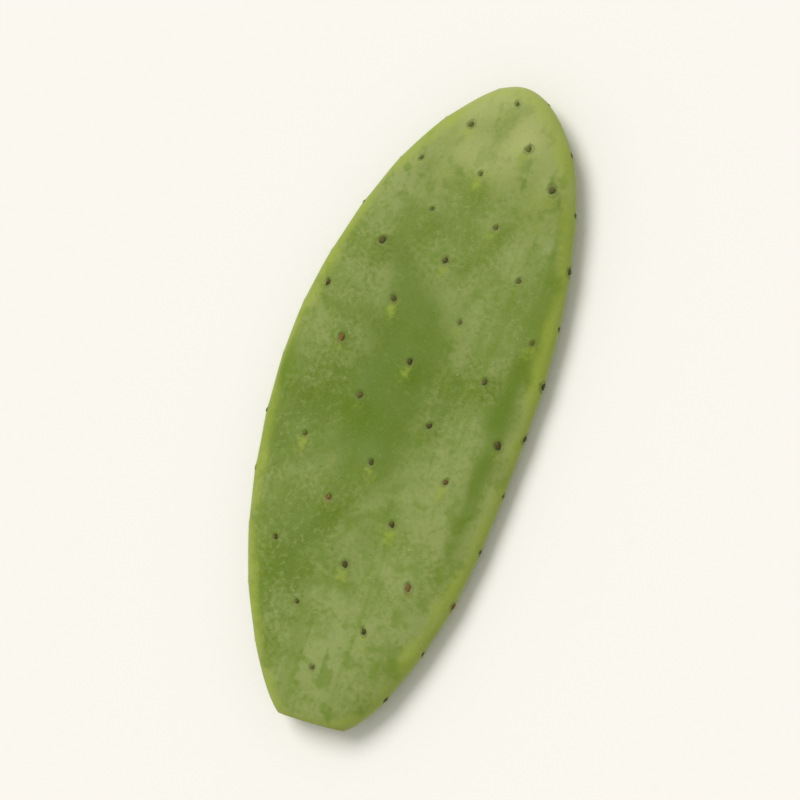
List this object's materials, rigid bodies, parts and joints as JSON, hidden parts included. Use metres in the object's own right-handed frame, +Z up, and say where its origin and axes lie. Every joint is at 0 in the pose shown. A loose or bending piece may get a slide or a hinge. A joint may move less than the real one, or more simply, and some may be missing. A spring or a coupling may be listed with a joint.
{
  "type": "prickly pear cactus pad",
  "caption": "Flat, egg-shaped green cactus pad with rounded rim and rows of small felted areoles, cut off flat at its joint, lying on one face.",
  "frame": {"origin": "on the surface that the pad lies on, under the middle of the pad's box", "axes": "+Y from the cut joint to the tip, +Z up out of the upper face, +X across the pad"},
  "size_m": [0.0954, 0.229, 0.0148],
  "materials": {
    "cactus_skin": "satin"
  },
  "bodies": {
    "root": {"pad": "cactus_skin"}
  },
  "joints": []
}
